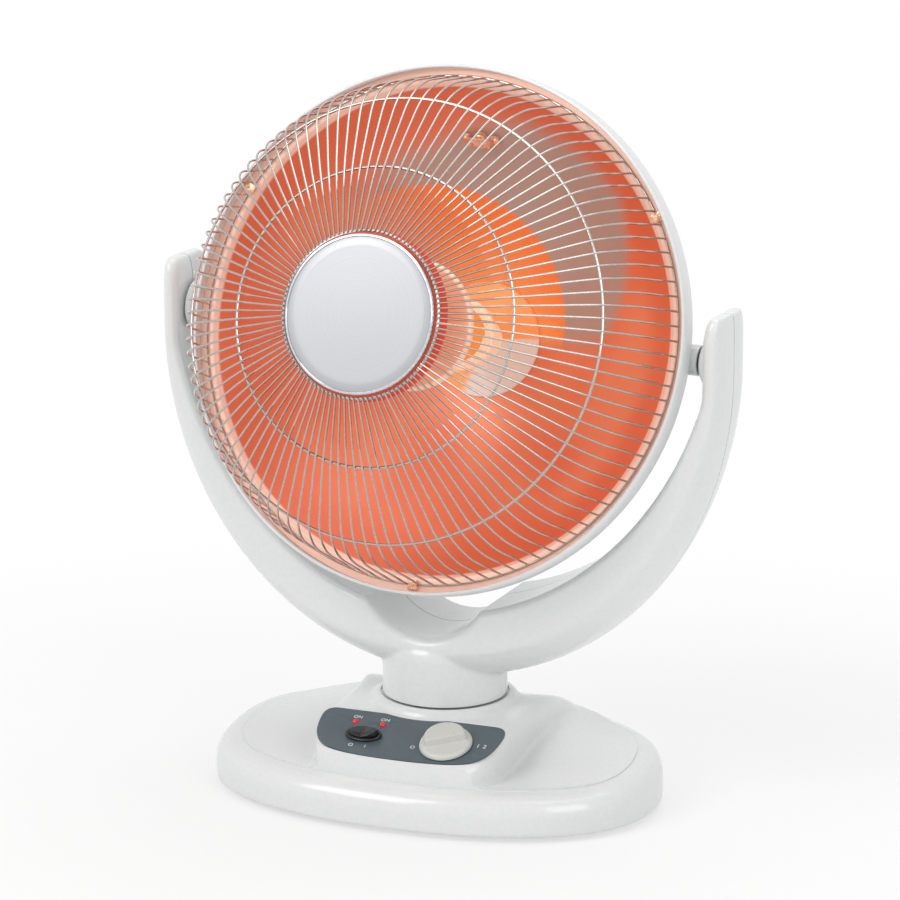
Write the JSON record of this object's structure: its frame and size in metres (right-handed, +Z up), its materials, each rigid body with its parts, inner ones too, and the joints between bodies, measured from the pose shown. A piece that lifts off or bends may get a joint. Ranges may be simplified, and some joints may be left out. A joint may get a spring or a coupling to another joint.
{
  "type": "parabolic heater",
  "caption": "Free-standing dish heater: oval base with a sloping panel, swinging U yoke, and a tilting reflector behind a domed wire guard with a plain disc.",
  "frame": {"origin": "middle of the bounding box in X and Y, on the floor", "axes": "+Z up, the front with the panel and the guard faces -Y, +X to the right seen from the front"},
  "size_m": [0.4358, 0.2698, 0.5253],
  "materials": {
    "white": "glossy moulded ABS",
    "iron": "dark pressed steel",
    "rubber": "moulded rubber",
    "black": "black moulded plastic",
    "acetal": "plain acetal",
    "panel": "satin dark grey moulding",
    "red": "clear red lens",
    "steel": "zinc plated steel",
    "knob": "light grey moulded plastic",
    "reflector": "bright reflector sheet lit by the element",
    "chrome": "chrome plated wire",
    "silver": "satin silver sheet",
    "ceramic": "unglazed ceramic",
    "glow": "resistance wire, glowing"
  },
  "bodies": {
    "base": {"base_cover": "white", "base_plate": "iron", "foot_front_left": "rubber", "foot_front_right": "rubber", "foot_back_left": "rubber", "foot_back_right": "rubber", "ballast_weight": "iron", "cord_inlet": "black", "turntable_bearing": "acetal", "control_panel": "panel", "indicator_lens_left": "red", "indicator_lens_right": "red", "rocker_bezel": "black", "rotary_switch": "black", "oscillation_motor": "steel", "tip_switch": "black"},
    "oscillation_rocker": {"oscillation_rocker": "black"},
    "knob": {"power_knob": "knob", "switch_shaft": "steel"},
    "motor_crank": {"motor_crank": "steel"},
    "link_rod": {"link_rod": "steel"},
    "tip_plunger": {"tip_plunger": "acetal"},
    "yoke": {"turntable_hub": "steel", "hub_retainer": "steel", "drive_arm": "steel", "yoke_front_shell": "white", "yoke_back_shell": "white", "pivot_bush_left": "white", "pivot_bush_right": "white"},
    "head": {"trim_ring": "white", "rear_shell": "white", "reflector_dish": "reflector", "wire_guard": "chrome", "guard_ring_outer": "chrome", "guard_ring_inner": "chrome", "guard_hub_ring": "chrome", "hub_back_plate": "silver", "badge_plate": "silver", "badge_bezel": "chrome", "reflector_hub_plate": "silver", "thermal_cutout": "black", "cutout_strap": "steel", "ceramic_core": "ceramic", "heating_coil": "glow", "heat_shield": "silver", "shield_stud": "steel", "guard_clip_right": "steel", "guard_clip_left": "steel", "guard_clip_bottom": "steel", "pivot_bolt_left": "steel", "pivot_bolt_right": "steel", "friction_washer_left": "iron", "friction_washer_right": "iron"}
  },
  "joints": [
    {"name": "pan", "type": "hinge", "parent": "base", "child": "yoke", "pos_m": [-0.00032, 0.0293, 0.07], "axis": [0, 0, 1], "range_deg": [-32.7, 37.3]},
    {"name": "tilt", "type": "hinge", "parent": "yoke", "child": "head", "pos_m": [0, 0.0373, 0.3373], "axis": [0.9992, -0.0401, 0], "range_deg": [-12, 18]},
    {"name": "power_knob_turn", "type": "hinge", "parent": "base", "child": "knob", "pos_m": [0.03168, -0.04913, 0.05756], "axis": [0, -0.342, 0.9397], "range_deg": [-90, 0]},
    {"name": "rocker_tilt", "type": "hinge", "parent": "base", "child": "oscillation_rocker", "pos_m": [-0.03132, -0.05007, 0.05839], "axis": [0, 0.9397, 0.342], "range_deg": [0, 16]},
    {"name": "crank_turn", "type": "hinge", "parent": "base", "child": "motor_crank", "pos_m": [-0.05032, 0.0533, 0.042], "axis": [0, 0, 1], "range_deg": [-84.2, 96]},
    {"name": "rod_turn", "type": "hinge", "parent": "yoke", "child": "link_rod", "pos_m": [0.00064, 0.05328, 0.0456], "axis": [0, 0, 1], "range_deg": [-37.4, 32.8]},
    {"name": "plunger_slide", "type": "slide", "parent": "base", "child": "tip_plunger", "axis": [0, 0, 1], "range_m": [-0.004, 0], "stiffness_N_per_m": 60, "springref_m": -0.006}
  ],
  "couplings": [
    {"joint": "crank_turn", "follows": "pan", "ratio": 2.5714},
    {"joint": "rod_turn", "follows": "pan", "ratio": -1}
  ]
}
